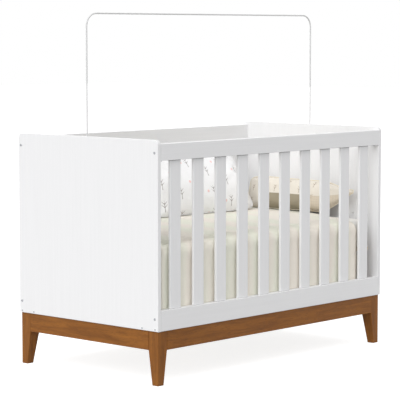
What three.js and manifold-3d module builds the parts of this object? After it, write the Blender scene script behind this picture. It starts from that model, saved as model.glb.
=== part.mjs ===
// A baby crib: two solid white end panels, two fixed slatted sides bolted between them, a stained
// wooden base on four tapered legs, a mattress base hung on bolts, a removable arch for a mosquito
// net, and the bedding: mattress, quilt and two pillows.
// Millimetres. +Z up, X along the crib, the front faces -Y. The origin is on the floor under the
// middle of the crib.

import * as THREE from "three";
import { mergeVertices } from "three/addons/utils/BufferGeometryUtils.js";
import Module from "manifold-3d";

const wasm = await Module();
wasm.setup();

// ---- Driving dimensions ----

// overall
const bedLength = 1370; // over the outer faces of the end panels
const bedDepth = 764; // over the front and back faces
const panelTop = 922; // top edge of the end panels above the floor
const baseTop = 206; // top of the wooden base, where the white body starts

// end panels
const panelThickness = 18;
const panelCornerRadius = 20;
const boardEase = 2; // easing on the edges of the white boards

// slatted sides
const railThickness = 30;
const railSetDown = 14.5; // top rail below the top edge of the end panels
const topRailHeight = 63;
const bottomRailHeight = 78;
const slatCount = 10;
const slatWidth = 58;
const slatThickness = 11.5;
const slatEndGap = 60; // first slat to end panel
const slatRecess = 9.5; // face of the slats behind the face of the rails
const slatEase = 3;
const mortiseDepth = 12;

// wooden base
const baseInset = 5.5; // base faces behind the faces of the white body
const apronDepth = 74;
const apronThickness = 22;
const legTopSize = 50;
const legFootSize = 31;
const woodEase = 1.5;
const cleatSize = 20; // square batten that ties each end panel to the base

// fasteners and clearances
const fit = 0.3; // gap all round a fitted piece
const running = 0.5; // gap beside a piece that lifts or slides
const boltDiameter = 6;
const boltReach = 40; // shank beyond the end panel, into the rail
const boltInset = 16; // rail bolts behind the face of the rail
const topBoltRise = 29.5; // above the lower edge of the top rail
const bottomBoltRise = 47; // above the lower edge of the bottom rail
const boltHoleSpare = 3; // blind holes beyond the end of their bolt
const roundSides = 12; // sides of a bolt and of its hole
const boltHeadDiameter = 10;
const boltHeadHeight = 2.2;
const socketAcrossFlats = 4;
const socketDepth = 1.6;

// mattress base, hung over four bolts in the end panels
const hangBoltLow = 385; // height of the row of bolts in use
const hangBoltHigh = 547; // height of the spare row
const hangBoltInset = 53; // from each end of the steel angle
const hangBoltSeat = 12; // depth of the bolt in the end panel
const hangHeadDiameter = 13;
const hangHeadHeight = 3;
const hangHeadRoom = 3.5; // head to the flange above it
const angleInset = 42; // ends of the steel angle inside the edges of the board
const angleFlange = 30;
const angleThickness = 3;
const boardThickness = 12;
const boardEndGap = 12; // board end to end panel
const boardCorner = 8;
const ventWidth = 24;
const ventLength = 110;
const ventColumns = 6;
const ventRows = 3;
const ribDepth = 40;
const ribThickness = 20;
const ribInset = 10;

// mosquito net arch
const archRise = 472; // above the end panels
const archRod = 6;
const archCorner = 50;
const archHoleDepth = 60;
const archSides = 10;
const archCornerSteps = 8;

// bedding
const mattressEndGap = 17; // mattress to end panel
const mattressSideGap = 10; // mattress to rail
const mattressThickness = 120;
const mattressCorner = 45;
const mattressEase = 14;
const quiltThickness = 14;
const quiltDrapeThickness = 6;
const quiltLeftInset = 10; // from the left end of the mattress
const quiltRightInset = 10; // from the right end of the mattress
const drapeRightInset = 50; // the drape ends before the sheet does
const quiltBackGap = 10; // quilt's back edge inside the back edge of the mattress
const quiltHem = 240; // lower edge of the front drape above the floor
const quiltFold = 18; // radius where the quilt turns over the mattress edge
const quiltEdge = 5; // chamfer along its back edge

const whitePillow = {
  width: 580, height: 285, thickness: 88, corner: 55, ease: 40,
  lean: THREE.MathUtils.degToRad(24), wallGap: 4, endGap: 127,
};
const creamPillow = {
  frontGap: 72, backGap: 52, height: 146, thickness: 72, corner: 40, ease: 32,
  lean: THREE.MathUtils.degToRad(14), wallGap: 4,
};

// ---- Values worked out from them ----

const halfLength = bedLength / 2;
const halfDepth = bedDepth / 2;
const innerHalfLength = halfLength - panelThickness;
const innerHalfDepth = halfDepth - railThickness;
const railTop = panelTop - railSetDown;
const topRailBottom = railTop - topRailHeight;
const bottomRailTop = baseTop + bottomRailHeight;
const baseHalfLength = halfLength - baseInset;
const baseHalfDepth = halfDepth - baseInset;
const apronBottom = baseTop - apronDepth;
const slatSpan = 2 * (innerHalfLength - slatEndGap) - slatWidth; // first slat to last slat
const mattressHalfLength = innerHalfLength - mattressEndGap;
const mattressHalfDepth = innerHalfDepth - mattressSideGap;
const boltHole = boltDiameter + 2 * fit;
const angleLength = 2 * (mattressHalfDepth - angleInset);
const hangBoltSpread = angleLength - 2 * hangBoltInset; // front bolt to back bolt
const angleTop = hangBoltLow + hangHeadDiameter / 2 + hangHeadRoom + angleThickness;
const boardTop = angleTop + boardThickness;
const mattressTop = boardTop + mattressThickness;
const quiltTop = mattressTop + fit + quiltThickness;
const archTop = panelTop + archRise;

// ---- Materials ----

function finish(name, color, roughness, metalness = 0) {
  return new THREE.MeshStandardMaterial({ name, color, roughness, metalness });
}

const whiteLacquer = finish("white_lacquer", 0xf2f2f2, 0.45);
const stainedWood = finish("stained_wood", 0x8f5a30, 0.5);
const rawBoard = finish("raw_board", 0xd8c3a0, 0.7);
const zincSteel = finish("zinc_steel", 0xb4b6b8, 0.35, 1);
const whiteSteel = finish("white_steel", 0xf4f4f4, 0.4);
const mattressCloth = finish("mattress_cloth", 0xf1f0ec, 0.9);
const creamQuilting = finish("cream_quilting", 0xe9e1d0, 0.9);
const whitePrint = finish("white_print", 0xf7f5f2, 0.9);
const creamPrint = finish("cream_print", 0xeadfc8, 0.9);

// ---- Geometry helpers ----

// A three.js geometry as a manifold-3d solid.
function toSolid(geometry) {
  const bare = geometry.index ? geometry.toNonIndexed() : geometry.clone();
  bare.deleteAttribute("normal");
  bare.deleteAttribute("uv");
  const merged = mergeVertices(bare, 1e-4);
  return new wasm.Manifold(new wasm.Mesh({
    numProp: 3,
    vertProperties: new Float32Array(merged.attributes.position.array),
    triVerts: new Uint32Array(merged.index.array),
  }));
}

// A manifold-3d solid as a three.js geometry.
function toGeometry(solid) {
  const mesh = solid.getMesh();
  const geometry = new THREE.BufferGeometry();
  geometry.setAttribute("position", new THREE.BufferAttribute(mesh.vertProperties, 3));
  geometry.setIndex(new THREE.BufferAttribute(mesh.triVerts, 1));
  geometry.computeVertexNormals();
  return geometry;
}

// A geometry with the given tools cut out of it.
function cut(geometry, tools) {
  let solid = toSolid(geometry);
  for (const tool of tools) solid = solid.subtract(toSolid(tool));
  return toGeometry(solid);
}

// A rectangle centred on the origin, with rounded corners.
function roundedRectangle(width, height, radius) {
  const x = width / 2;
  const y = height / 2;
  const shape = new THREE.Shape();
  shape.absarc(x - radius, y - radius, radius, 0, Math.PI / 2);
  shape.absarc(radius - x, y - radius, radius, Math.PI / 2, Math.PI);
  shape.absarc(radius - x, radius - y, radius, Math.PI, Math.PI * 1.5);
  shape.absarc(x - radius, radius - y, radius, Math.PI * 1.5, Math.PI * 2);
  return shape;
}

// A shape extruded along Z about its middle, its outline and thickness kept by the eased edges.
function slab(shape, thickness, { ease = 0, easeSteps = 2, curveSegments = 6 } = {}) {
  const geometry = new THREE.ExtrudeGeometry(shape, {
    depth: thickness - 2 * ease,
    bevelEnabled: ease > 0,
    bevelThickness: ease,
    bevelSize: ease,
    bevelOffset: -ease,
    bevelSegments: easeSteps,
    curveSegments,
  });
  return geometry.translate(0, 0, ease - thickness / 2);
}

// Turns a slab drawn in x and y so that it is drawn in Y and Z and is extruded along X.
function facingX(geometry) {
  const turn = new THREE.Matrix4().makeBasis(
    new THREE.Vector3(0, 1, 0),
    new THREE.Vector3(0, 0, 1),
    new THREE.Vector3(1, 0, 0),
  );
  return geometry.applyMatrix4(turn);
}

// Turns a slab drawn in x and y so that it is drawn in X and Z and is extruded along Y.
function facingY(geometry) {
  const turn = new THREE.Matrix4().makeBasis(
    new THREE.Vector3(1, 0, 0),
    new THREE.Vector3(0, 0, 1),
    new THREE.Vector3(0, -1, 0),
  );
  return geometry.applyMatrix4(turn);
}

// A round drill along X from one place to another.
function drillX(from, to, y, z, diameter = boltHole) {
  const drill = new THREE.CylinderGeometry(diameter / 2, diameter / 2, to - from, roundSides);
  return drill.rotateZ(Math.PI / 2).translate((from + to) / 2, y, z);
}

function piece(name, geometry, material, x = 0, y = 0, z = 0) {
  const mesh = new THREE.Mesh(geometry, material);
  mesh.name = name;
  mesh.position.set(x, y, z);
  return mesh;
}

// ---- Fasteners ----

// A bolt along X with a low round head and a hexagon socket. The seat of its head is at x = 0. The
// head stands towards +X when headTowards is 1 and towards -X when it is -1.
function boltGeometry(shankLength, headDiameter, headHeight, headTowards) {
  const shank = boltDiameter / 2;
  const head = headDiameter / 2;
  const edge = headHeight / 3;
  const profile = [
    [0, -shankLength],
    [shank - 0.6, -shankLength],
    [shank, 0.6 - shankLength],
    [shank, 0],
    [head, 0],
    [head, headHeight - edge],
    [head - edge, headHeight],
    [0, headHeight],
  ].map(([radius, along]) => new THREE.Vector2(radius, along));
  const bolt = new THREE.LatheGeometry(profile, roundSides);
  const socketRadius = socketAcrossFlats / Math.sqrt(3);
  const socket = new THREE.CylinderGeometry(socketRadius, socketRadius, 2 * socketDepth, 6);
  socket.translate(0, headHeight, 0);
  return cut(bolt, [socket]).rotateZ((-headTowards * Math.PI) / 2);
}

const railBoltHeights = [
  ["bottom", baseTop + bottomBoltRise],
  ["top", topRailBottom + topBoltRise],
];
const railBoltY = halfDepth - boltInset;

// ---- An end panel with its bolts and cleat, built at the +X end ----

function panelGeometry() {
  const height = panelTop - baseTop;
  const middle = baseTop + height / 2;
  const outline = new THREE.Shape();
  outline.moveTo(-halfDepth, -height / 2);
  outline.lineTo(halfDepth, -height / 2);
  const corner = halfDepth - panelCornerRadius;
  const shoulder = height / 2 - panelCornerRadius;
  outline.absarc(corner, shoulder, panelCornerRadius, 0, Math.PI / 2);
  outline.absarc(-corner, shoulder, panelCornerRadius, Math.PI / 2, Math.PI);
  const board = facingX(slab(outline, panelThickness, { ease: boardEase }));
  const half = panelThickness / 2;
  const tools = [];
  for (const side of [-1, 1]) {
    for (const [, z] of railBoltHeights) {
      tools.push(drillX(-half - 1, half + 1, side * railBoltY, z - middle));
    }
    for (const z of [hangBoltLow, hangBoltHigh]) {
      const y = (side * hangBoltSpread) / 2;
      tools.push(drillX(-half - 1, hangBoltSeat + 1 - half, y, z - middle));
    }
  }
  const archHoleRadius = archRod / 2 + fit;
  const archHole = new THREE.CylinderGeometry(
    archHoleRadius, archHoleRadius, 2 * archHoleDepth, roundSides,
  );
  tools.push(archHole.rotateX(Math.PI / 2).translate(0, 0, height / 2));
  return cut(board, tools);
}

function makeEnd(name, side) {
  const end = new THREE.Group();
  const middleX = halfLength - panelThickness / 2;
  const middleZ = (baseTop + panelTop) / 2;
  end.add(piece(`${name}_end_panel`, panelGeometry(), whiteLacquer, middleX, 0, middleZ));

  for (const [face, y] of [["front", -railBoltY], ["back", railBoltY]]) {
    for (const [level, z] of railBoltHeights) {
      const shank = panelThickness + boltReach;
      const bolt = boltGeometry(shank, boltHeadDiameter, boltHeadHeight, 1);
      end.add(piece(`${name}_${face}_${level}_rail_bolt`, bolt, zincSteel, halfLength, y, z));
    }
    const standOff = running + angleThickness + fit;
    const bolt = boltGeometry(standOff + hangBoltSeat, hangHeadDiameter, hangHeadHeight, -1);
    const hanging = piece(`${name}_${face}_hanging_bolt`, bolt, zincSteel);
    const spread = (Math.sign(y) * hangBoltSpread) / 2;
    hanging.position.set(innerHalfLength - standOff, spread, hangBoltLow);
    end.add(hanging);
  }

  const cleatLength = 2 * innerHalfDepth - 2 * fit;
  const section = roundedRectangle(cleatSize, cleatSize, woodEase);
  const cleat = facingY(slab(section, cleatLength, { curveSegments: 2 }));
  const cleatX = innerHalfLength - cleatSize / 2;
  end.add(piece(`${name}_base_cleat`, cleat, rawBoard, cleatX, 0, baseTop + cleatSize / 2));

  end.scale.x = side;
  return end;
}

// ---- A slatted side, built at the front ----

const slatMiddleY = slatRecess + slatThickness / 2 - halfDepth;
const slatXs = Array.from(
  { length: slatCount },
  (_, i) => (i / (slatCount - 1) - 0.5) * slatSpan,
);

// A rail with a mortise for each slat in one edge and a bolt hole in each end. The mortises are in
// the lower edge when edge is -1 and in the upper edge when it is 1.
function railGeometry(height, bottom, edge, boltZ) {
  const section = roundedRectangle(railThickness, height, boardEase);
  const length = 2 * innerHalfLength;
  const rail = facingX(slab(section, length, { curveSegments: 3 }));
  const tools = slatXs.map((x) => {
    const pocket = new THREE.BoxGeometry(
      slatWidth + 2 * fit, slatThickness + 2 * fit, 2 * mortiseDepth,
    );
    return pocket.translate(x, slatMiddleY + halfDepth - railThickness / 2, (edge * height) / 2);
  });
  const boltY = boltInset - railThickness / 2;
  const boltHeight = boltZ - bottom - height / 2;
  const depth = boltReach + boltHoleSpare;
  tools.push(drillX(length / 2 - depth, length / 2 + 1, boltY, boltHeight));
  tools.push(drillX(-length / 2 - 1, depth - length / 2, boltY, boltHeight));
  return cut(rail, tools);
}

function makeSide(name, side) {
  const group = new THREE.Group();
  const [[, bottomBoltZ], [, topBoltZ]] = railBoltHeights;
  const railY = railThickness / 2 - halfDepth;
  const top = railGeometry(topRailHeight, topRailBottom, -1, topBoltZ);
  const topZ = topRailBottom + topRailHeight / 2;
  group.add(piece(`${name}_top_rail`, top, whiteLacquer, 0, railY, topZ));
  const bottom = railGeometry(bottomRailHeight, baseTop, 1, bottomBoltZ);
  const bottomZ = baseTop + bottomRailHeight / 2;
  group.add(piece(`${name}_bottom_rail`, bottom, whiteLacquer, 0, railY, bottomZ));

  const slatBottom = bottomRailTop - mortiseDepth;
  const slatTop = topRailBottom + mortiseDepth - running;
  const section = roundedRectangle(slatWidth, slatThickness, slatEase);
  const slatZ = (slatBottom + slatTop) / 2;
  slatXs.forEach((x, i) => {
    const slat = slab(section, slatTop - slatBottom, { curveSegments: 3 });
    group.add(piece(`${name}_slat_${i + 1}`, slat, whiteLacquer, x, slatMiddleY, slatZ));
  });

  group.scale.y = -side;
  return group;
}

// ---- The wooden base ----

// The outline of a leg: its outer face upright, its inner face tapered below the apron. It is drawn
// from the outer face at x = 0 towards -x, with the floor at y = 0.
function legOutline() {
  const shape = new THREE.Shape();
  shape.moveTo(0, 0);
  shape.lineTo(0, baseTop);
  shape.lineTo(-legTopSize, baseTop);
  shape.lineTo(-legTopSize, apronBottom);
  shape.lineTo(-legFootSize, 0);
  return shape;
}

// A leg at the +X +Y corner, its outer faces at x = 0 and y = 0.
function legGeometry() {
  const eased = { ease: woodEase, easeSteps: 1 };
  const middle = -legTopSize / 2;
  const across = facingY(slab(legOutline(), legTopSize, eased)).translate(0, middle, 0);
  const along = facingX(slab(legOutline(), legTopSize, eased)).translate(middle, 0, 0);
  return toGeometry(toSolid(across).intersect(toSolid(along)));
}

function apronGeometry(length) {
  const section = roundedRectangle(apronThickness, apronDepth, woodEase);
  return facingX(slab(section, length, { curveSegments: 2 }));
}

function makeBase() {
  const base = new THREE.Group();
  for (const [face, sy] of [["front", -1], ["back", 1]]) {
    for (const [end, sx] of [["left", -1], ["right", 1]]) {
      const leg = piece(`${face}_${end}_leg`, legGeometry(), stainedWood);
      leg.position.set(sx * baseHalfLength, sy * baseHalfDepth, 0);
      leg.scale.set(sx, sy, 1);
      base.add(leg);
    }
    const apron = apronGeometry(2 * (baseHalfLength - legTopSize));
    const y = sy * (baseHalfDepth - apronThickness / 2);
    base.add(piece(`${face}_apron`, apron, stainedWood, 0, y, baseTop - apronDepth / 2));
  }
  for (const [end, sx] of [["left", -1], ["right", 1]]) {
    const section = roundedRectangle(apronThickness, apronDepth, woodEase);
    const length = 2 * (baseHalfDepth - legTopSize);
    const apron = facingY(slab(section, length, { curveSegments: 2 }));
    const x = sx * (baseHalfLength - apronThickness / 2);
    base.add(piece(`${end}_apron`, apron, stainedWood, x, 0, baseTop - apronDepth / 2));
  }
  return base;
}

// ---- The mattress base ----

// A steel angle under each end of the board. Its upright flange has two slots, open downwards,
// that drop over the shanks of the hanging bolts. Built at the +X end.
function angleGeometry() {
  const outline = new THREE.Shape();
  outline.moveTo(0, 0);
  outline.lineTo(0, -angleFlange);
  outline.lineTo(-angleThickness, -angleFlange);
  outline.lineTo(-angleThickness, -angleThickness);
  outline.lineTo(-angleFlange, -angleThickness);
  outline.lineTo(-angleFlange, 0);
  const angle = facingY(slab(outline, angleLength));
  const shankZ = hangBoltLow - angleTop;
  const slots = [];
  for (const side of [-1, 1]) {
    const y = (side * hangBoltSpread) / 2;
    slots.push(drillX(-angleThickness - 1, 1, y, shankZ));
    const mouth = new THREE.BoxGeometry(angleThickness + 2, boltHole, angleFlange);
    slots.push(mouth.translate(-angleThickness / 2, y, shankZ - angleFlange / 2));
  }
  return cut(angle, slots);
}

function makeMattressBase() {
  const group = new THREE.Group();
  const boardHalfLength = innerHalfLength - boardEndGap;
  const outline = roundedRectangle(2 * boardHalfLength, 2 * mattressHalfDepth, boardCorner);
  const board = slab(outline, boardThickness, { curveSegments: 4 });
  const vents = [];
  const ventSpacingX = (2 * boardHalfLength) / ventColumns;
  const ventSpacingY = (2 * mattressHalfDepth) / ventRows;
  for (let column = 0; column < ventColumns; column += 1) {
    for (let row = 0; row < ventRows; row += 1) {
      const vent = slab(
        roundedRectangle(ventLength, ventWidth, ventWidth / 2 - 0.01),
        boardThickness + 2,
        { curveSegments: 2 },
      );
      const x = (column - (ventColumns - 1) / 2) * ventSpacingX;
      const y = (row - (ventRows - 1) / 2) * ventSpacingY;
      vents.push(vent.translate(x, y, 0));
    }
  }
  const boardZ = angleTop + boardThickness / 2;
  group.add(piece("mattress_board", cut(board, vents), rawBoard, 0, 0, boardZ));

  const ribSection = roundedRectangle(ribThickness, ribDepth, woodEase);
  const ribLength = 2 * (mattressHalfDepth - ribInset);
  const rib = facingY(slab(ribSection, ribLength, { curveSegments: 2 }));
  group.add(piece("mattress_board_rib", rib, rawBoard, 0, 0, angleTop - ribDepth / 2));

  for (const [end, side] of [["left", -1], ["right", 1]]) {
    const angle = piece(`${end}_hanging_angle`, angleGeometry(), whiteSteel);
    angle.position.set(side * (innerHalfLength - running), 0, angleTop);
    angle.scale.x = side;
    group.add(angle);
  }
  return group;
}

// ---- The mosquito net arch ----

// The middle line of the rod: up out of one end panel, round a corner, across, and down into the
// other. Each straight takes one step of the curve and each corner takes cornerSteps.
class ArchLine extends THREE.Curve {
  constructor(halfSpan, foot, crown, radius, cornerSteps) {
    super();
    Object.assign(this, { halfSpan, foot, crown, radius, cornerSteps });
    this.steps = 2 * cornerSteps + 3;
  }

  getUtoTmapping(u) {
    return u;
  }

  getPoint(t) {
    const side = t < 0.5 ? -1 : 1;
    const step = (side < 0 ? t : 1 - t) * this.steps;
    const shoulder = this.crown - this.radius;
    const turnX = this.halfSpan - this.radius;
    if (step < 1) {
      const z = THREE.MathUtils.lerp(this.foot, shoulder, step);
      return new THREE.Vector3(side * this.halfSpan, 0, z);
    }
    if (step < 1 + this.cornerSteps) {
      const angle = ((step - 1) / this.cornerSteps) * (Math.PI / 2);
      const x = turnX + this.radius * Math.cos(angle);
      return new THREE.Vector3(side * x, 0, shoulder + this.radius * Math.sin(angle));
    }
    const along = (step - 1 - this.cornerSteps) / 0.5;
    return new THREE.Vector3(side * turnX * (1 - along), 0, this.crown);
  }
}

function makeArch() {
  const line = new ArchLine(
    halfLength - panelThickness / 2,
    panelTop - archHoleDepth + fit,
    archTop - archRod / 2,
    archCorner,
    archCornerSteps,
  );
  const section = new THREE.Shape();
  section.absarc(0, 0, archRod / 2, 0, 2 * Math.PI);
  const rod = new THREE.ExtrudeGeometry(section, {
    steps: line.steps,
    curveSegments: archSides,
    extrudePath: line,
  });
  return piece("net_arch", rod, whiteSteel);
}

// ---- The bedding ----

// The quilt's section in Y and Z: a thick sheet over the mattress, and a thinner drape that falls
// between the mattress and the front side. The drape is cut away at the right end.
function quiltGeometry() {
  const back = mattressHalfDepth - quiltBackGap;
  const inner = -mattressHalfDepth - running;
  const front = inner - quiltDrapeThickness;
  const under = mattressTop + fit;
  const section = new THREE.Shape();
  section.moveTo(inner, quiltHem);
  section.lineTo(inner, under);
  section.lineTo(back, under);
  section.lineTo(back, quiltTop - quiltEdge);
  section.lineTo(back - quiltEdge, quiltTop);
  section.lineTo(front + quiltFold, quiltTop);
  section.absarc(front + quiltFold, quiltTop - quiltFold, quiltFold, Math.PI / 2, Math.PI);
  section.lineTo(front, quiltHem);
  const length = 2 * mattressHalfLength - quiltLeftInset - quiltRightInset;
  const sheet = facingX(slab(section, length));
  const cutLength = drapeRightInset - quiltRightInset;
  const corner = new THREE.BoxGeometry(2 * cutLength, 4 * quiltDrapeThickness, under - quiltHem);
  corner.translate(length / 2, inner - quiltDrapeThickness, (under + quiltHem) / 2 - fit);
  return cut(sheet, [corner]);
}

function pillowGeometry({ width, height, thickness, corner, ease }) {
  const outline = roundedRectangle(width, height, corner);
  return slab(outline, thickness, { ease, easeSteps: 5, curveSegments: 3 });
}

// How far a leaning pillow's rounded section reaches below, and behind, its middle.
function pillowReach({ height, thickness, ease, lean }) {
  const h = height / 2 - ease;
  const t = thickness / 2 - ease;
  return {
    down: h * Math.cos(lean) + t * Math.sin(lean) + ease,
    back: h * Math.sin(lean) + t * Math.cos(lean) + ease,
  };
}

function makeBedding() {
  const group = new THREE.Group();
  const mattress = slab(
    roundedRectangle(2 * mattressHalfLength, 2 * mattressHalfDepth, mattressCorner),
    mattressThickness,
    { ease: mattressEase, easeSteps: 3, curveSegments: 5 },
  );
  const mattressZ = boardTop + mattressThickness / 2;
  group.add(piece("mattress", mattress, mattressCloth, 0, 0, mattressZ));
  const quiltX = (quiltLeftInset - quiltRightInset) / 2;
  group.add(piece("quilt", quiltGeometry(), creamQuilting, quiltX, 0, 0));

  const whiteReach = pillowReach(whitePillow);
  const white = piece("white_pillow", facingY(pillowGeometry(whitePillow)), whitePrint);
  white.rotation.x = -whitePillow.lean;
  white.position.set(
    innerHalfLength - whitePillow.endGap - whitePillow.width / 2,
    innerHalfDepth - whitePillow.wallGap - whiteReach.back,
    quiltTop + fit + whiteReach.down,
  );
  group.add(white);

  const creamWidth = 2 * innerHalfDepth - creamPillow.frontGap - creamPillow.backGap;
  const creamShape = pillowGeometry({ width: creamWidth, ...creamPillow });
  const creamReach = pillowReach(creamPillow);
  const cream = piece("cream_pillow", facingX(creamShape), creamPrint);
  cream.rotation.y = creamPillow.lean;
  cream.position.set(
    innerHalfLength - creamPillow.wallGap - creamReach.back,
    (creamPillow.frontGap - creamPillow.backGap) / 2,
    quiltTop + fit + creamReach.down,
  );
  group.add(cream);
  return group;
}

// ---- The whole crib ----

const crib = new THREE.Group();
crib.name = "baby_crib";
crib.add(makeEnd("left", -1));
crib.add(makeEnd("right", 1));
crib.add(makeSide("front", -1));
crib.add(makeSide("back", 1));
crib.add(makeBase());
crib.add(makeMattressBase());
crib.add(makeArch());
crib.add(makeBedding());

export default crib;
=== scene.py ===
# %% [markdown]
# # A baby crib with its bedding
#
# The crib is a white box with slatted sides on a low brown base. Inside lie a mattress, a cream
# quilt that hangs down behind the front slats, and two small pillows. A thin white arch stands
# over it for a mosquito net.
#
# The hard pieces come from the crib's frame with their true sizes, so this lesson only gives
# them their finish. The bedding and the small fasteners are modelled here, because cloth and
# screw heads need more shape than a plain solid has.

# %% Load the crib's frame
import math

import bmesh
import bpy
from mathutils import Matrix, Vector, noise


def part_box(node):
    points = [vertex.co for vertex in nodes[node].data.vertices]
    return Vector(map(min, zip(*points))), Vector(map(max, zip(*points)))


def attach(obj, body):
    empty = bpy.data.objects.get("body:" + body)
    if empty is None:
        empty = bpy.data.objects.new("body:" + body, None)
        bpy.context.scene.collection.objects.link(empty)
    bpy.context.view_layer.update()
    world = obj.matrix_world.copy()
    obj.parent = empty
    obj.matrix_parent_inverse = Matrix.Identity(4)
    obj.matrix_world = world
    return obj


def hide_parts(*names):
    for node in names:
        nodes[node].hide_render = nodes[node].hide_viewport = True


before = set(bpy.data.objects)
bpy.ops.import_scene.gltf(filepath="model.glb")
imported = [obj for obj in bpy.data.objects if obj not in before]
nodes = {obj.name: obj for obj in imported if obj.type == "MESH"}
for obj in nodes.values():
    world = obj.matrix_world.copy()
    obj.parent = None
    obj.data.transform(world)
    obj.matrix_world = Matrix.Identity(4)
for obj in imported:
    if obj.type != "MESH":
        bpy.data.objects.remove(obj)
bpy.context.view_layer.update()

# %% [markdown]
# ## The camera
#
# The crib is seen from its left front corner, a little from above. A long lens keeps its
# uprights parallel, as in a shop catalogue. The camera is turned about two axes only, so it
# has no roll, and neither shift nor depth of field is used.

# %% Place the camera
EYE = Vector((-5.6276, -5.1073, 1.3133))
LOOK_YAW, LOOK_DOWN = math.radians(42.404), math.radians(5.12)

camera_data = bpy.data.cameras.new("long_lens")
camera_data.lens, camera_data.sensor_width = 167.06, 36
camera = bpy.data.objects.new("camera", camera_data)
camera.location = EYE
camera.rotation_euler = (math.pi / 2 - LOOK_DOWN, 0, LOOK_YAW - math.pi / 2)
bpy.context.collection.objects.link(camera)
bpy.context.scene.camera = camera
print("camera", [round(a, 2) for a in EYE], "lens", camera_data.lens)

# %% [markdown]
# ## Helpers for shader nodes
#
# Every finish is a tree of shader nodes. One helper adds a node and fills its inputs, each with
# a fixed value or with the output of another node. The rest wrap the nodes used most.


# %% Helpers for building node trees
def colour(red, green, blue):
    """A colour written as on a screen, 0 to 255, turned into the light it stands for."""
    return tuple(((c / 255 + 0.055) / 1.055) ** 2.4 for c in (red, green, blue)) + (1,)


def add(tree, kind, inputs=None, **settings):
    """Adds a node. An input, by name or number, is a fixed value or another node's output."""
    node = tree.nodes.new("ShaderNode" + kind)
    for key, value in settings.items():
        setattr(node, key, value)
    for key, term in (inputs or {}).items():
        if isinstance(term, bpy.types.NodeSocket):
            tree.links.new(term, node.inputs[key])
        else:
            node.inputs[key].default_value = term
    return node


def maths(tree, operation, *terms):
    """The result of one Math node."""
    return add(tree, "Math", dict(enumerate(terms)), operation=operation).outputs[0]


def vectors(tree, operation, *terms):
    """The result of one Vector Math node: a number for a length, distance or dot product."""
    node = add(tree, "VectorMath", dict(enumerate(terms)), operation=operation)
    is_number = operation in ("DOT_PRODUCT", "DISTANCE", "LENGTH")
    return node.outputs["Value" if is_number else "Vector"]


def scaled(tree, vector, factor):
    """A vector or colour times a number."""
    return add(tree, "VectorMath", {0: vector, "Scale": factor}, operation="SCALE").outputs[0]


def axes(tree, vector):
    """The X, Y and Z of a vector."""
    return add(tree, "SeparateXYZ", {0: vector}).outputs


def mapped(tree, value, low, high, to_low=0.0, to_high=1.0, **settings):
    """Maps a value from one range to another, and holds it at both ends."""
    names = ("Value", "From Min", "From Max", "To Min", "To Max")
    inputs = dict(zip(names, (value, low, high, to_low, to_high)))
    return add(tree, "MapRange", inputs, **settings).outputs[0]


def noise_of(tree, vector, scale, detail, **more):
    """A noise pattern: its Fac is a number and its Color a colour."""
    inputs = {"Vector": vector, "Scale": scale, "Detail": detail, **more}
    return add(tree, "TexNoise", inputs).outputs


print("node helpers ready")

# %% [markdown]
# ## Light and floor
#
# White lacquer shows its form only by small steps between faces, so the light must be soft and
# come more from one side. A sky of even light fills the shade, one wide sun on the left makes
# the end panel the brightest face, and a weaker one from above reaches into the crib. Wide
# suns are used instead of lamps nearby, because they light every side of a long crib alike.
#
# The background is white only to the camera and in reflections: Light Path tells those rays
# from the ones that carry light on to the crib.

# %% Light the room
SKY_STRENGTH = 0.53
SUNS = (
    ("left_window", Vector((0.80, 0.22, -0.56)), 1.90, 62),
    ("ceiling_light", Vector((0.10, 0.15, -1.0)), 0.90, 75),
)

scene = bpy.context.scene
scene.view_settings.view_transform = "Standard"


def seen_directly(tree):
    """1 for rays from the camera and for those that show in metal or glass."""
    path = add(tree, "LightPath").outputs
    mirror = maths(tree, "MAXIMUM", path["Is Glossy Ray"], path["Is Transmission Ray"])
    return maths(tree, "MAXIMUM", path["Is Camera Ray"], mirror)


world = bpy.data.worlds.new("white_room")
world.use_nodes = True
scene.world = world
room = world.node_tree
sky = room.nodes["Background"].inputs
sky["Color"].default_value = (1, 1, 1, 1)
room.links.new(mapped(room, seen_directly(room), 0.0, 1.0, SKY_STRENGTH), sky["Strength"])

for name, direction, energy, spread in SUNS:
    lamp = bpy.data.lights.new(name, "SUN")
    lamp.energy, lamp.angle = energy, math.radians(spread)
    sun = bpy.data.objects.new(name, lamp)
    sun.rotation_euler = direction.to_track_quat("-Z", "Y").to_euler()
    bpy.context.collection.objects.link(sun)
print(len(SUNS), "suns over a sky of", SKY_STRENGTH)

# %% Helper for materials
def start_material(name, base, roughness, **fixed):
    """A material with its Principled BSDF. Fixed values go straight onto the shader."""
    material = bpy.data.materials.new(name)
    material.use_nodes = True
    shader = material.node_tree.nodes["Principled BSDF"]
    fixed = {"Base_Color": base, "Roughness": roughness, **fixed}
    for socket, value in fixed.items():
        shader.inputs[socket.replace("_", " ")].default_value = value
    return material, material.node_tree, shader


print("material helper ready")

# %% Lay the floor
FLOOR_SIDE, FLOOR_GLOW = 60, 0.82

floor_shape = bmesh.new()
bmesh.ops.create_grid(floor_shape, x_segments=1, y_segments=1, size=FLOOR_SIDE / 2)
floor_mesh = bpy.data.meshes.new("floor")
floor_shape.to_mesh(floor_mesh)
floor_shape.free()
floor = bpy.data.objects.new("floor", floor_mesh)
bpy.context.collection.objects.link(floor)

paper, tree, shader = start_material(
    "white_paper", (0.5, 0.5, 0.5, 1), 0.9, Specular_IOR_Level=0.0, Emission_Color=(1, 1, 1, 1)
)
glow = maths(tree, "MULTIPLY", seen_directly(tree), FLOOR_GLOW)
tree.links.new(glow, shader.inputs["Emission Strength"])
floor_mesh.materials.append(paper)
print("floor", FLOOR_SIDE, "m wide")

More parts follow.
